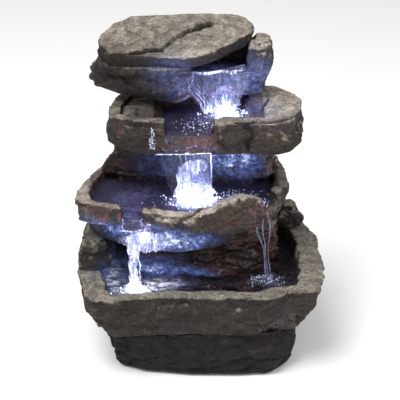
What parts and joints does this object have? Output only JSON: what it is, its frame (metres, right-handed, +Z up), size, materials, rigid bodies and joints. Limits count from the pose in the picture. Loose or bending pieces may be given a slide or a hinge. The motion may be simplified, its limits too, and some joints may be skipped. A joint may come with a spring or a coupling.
{
  "type": "tabletop rock fountain",
  "caption": "Tabletop fountain of stacked rock slabs: water falls from tier to tier, past sealed lamps, into a basin with a small pump.",
  "frame": {"origin": "centre of the footprint on the table, under the rubber feet", "axes": "+Z up, +X to the right of a viewer who faces the falls, the falls face -Y"},
  "size_m": [0.203, 0.169, 0.2668],
  "materials": {
    "pedestal_stone": "dark cast resin stone, matte",
    "basin_stone": "grey-brown cast resin stone, matte, speckled",
    "wet_stone": "red-brown cast resin stone, wet",
    "tier_stone": "tan and brown cast resin stone, matte, worn edges",
    "pebble_stone": "rounded wet pebbles",
    "black_plastic": "moulded, satin",
    "door_plastic": "moulded, textured",
    "rubber": "moulded rubber",
    "lead_sheath": "soft vinyl sheath",
    "clear_lens": "clear moulded lens",
    "clear_hose": "clear soft vinyl",
    "screw_steel": "stainless",
    "shaft_ceramic": "ground",
    "foam": "open-cell filter foam"
  },
  "bodies": {
    "fountain": {"base_plate": "black_plastic", "base_plate_screws": "screw_steel", "basin": "basin_stone", "capstone": "tier_stone", "cord_gland": "rubber", "drip_ledge": "wet_stone", "grotto_wall": "wet_stone", "hose_clip": "black_plastic", "impeller_shaft": "shaft_ceramic", "left_shoulder_stone": "basin_stone", "lower_lamp_barrel": "black_plastic", "lower_lamp_lead": "lead_sheath", "lower_lamp_lens": "clear_lens", "lower_neck": "wet_stone", "lower_tier": "tier_stone", "middle_lamp_barrel": "black_plastic", "middle_lamp_lead": "lead_sheath", "middle_lamp_lens": "clear_lens", "middle_lamp_seal": "rubber", "middle_tier": "tier_stone", "outlet_elbow": "black_plastic", "pedestal": "pedestal_stone", "pump_body": "black_plastic", "pump_lead": "lead_sheath", "right_chock_stone": "basin_stone", "riser_hose": "clear_hose", "river_pebbles": "pebble_stone", "rubber_foot_1": "rubber", "rubber_foot_2": "rubber", "rubber_foot_3": "rubber", "rubber_foot_4": "rubber", "shaft_bushes": "rubber", "splice_box": "black_plastic", "suction_cup_1": "rubber", "suction_cup_2": "rubber", "suction_cup_3": "rubber", "suction_cup_4": "rubber", "upper_lamp_barrel": "black_plastic", "upper_lamp_lead": "lead_sheath", "upper_lamp_lens": "clear_lens", "upper_lamp_seal": "rubber", "upper_neck": "wet_stone", "upper_rock": "tier_stone", "upper_side_stone": "tier_stone", "volute_cover": "black_plastic"},
    "impeller": {"impeller": "black_plastic"},
    "flow_dial": {"flow_dial": "black_plastic"},
    "intake_cover": {"intake_cover": "black_plastic", "sponge_filter": "foam"},
    "rear_door": {"rear_door": "door_plastic"}
  },
  "joints": [
    {"name": "impeller_spin", "type": "hinge", "parent": "fountain", "child": "impeller", "pos_m": [0.02, 0.036, 0.035], "axis": [1, 0, 0], "continuous": true},
    {"name": "intake_cover_slide", "type": "slide", "parent": "fountain", "child": "intake_cover", "axis": [-1, 0, 0], "range_m": [0, 0.012]},
    {"name": "flow_dial_turn", "type": "hinge", "parent": "intake_cover", "child": "flow_dial", "pos_m": [-0.0115, 0.036, 0.035], "axis": [1, 0, 0], "range_deg": [0, 90]},
    {"name": "rear_door_pull", "type": "slide", "parent": "fountain", "child": "rear_door", "axis": [0, 1, 0], "range_m": [0, 0.035]}
  ]
}
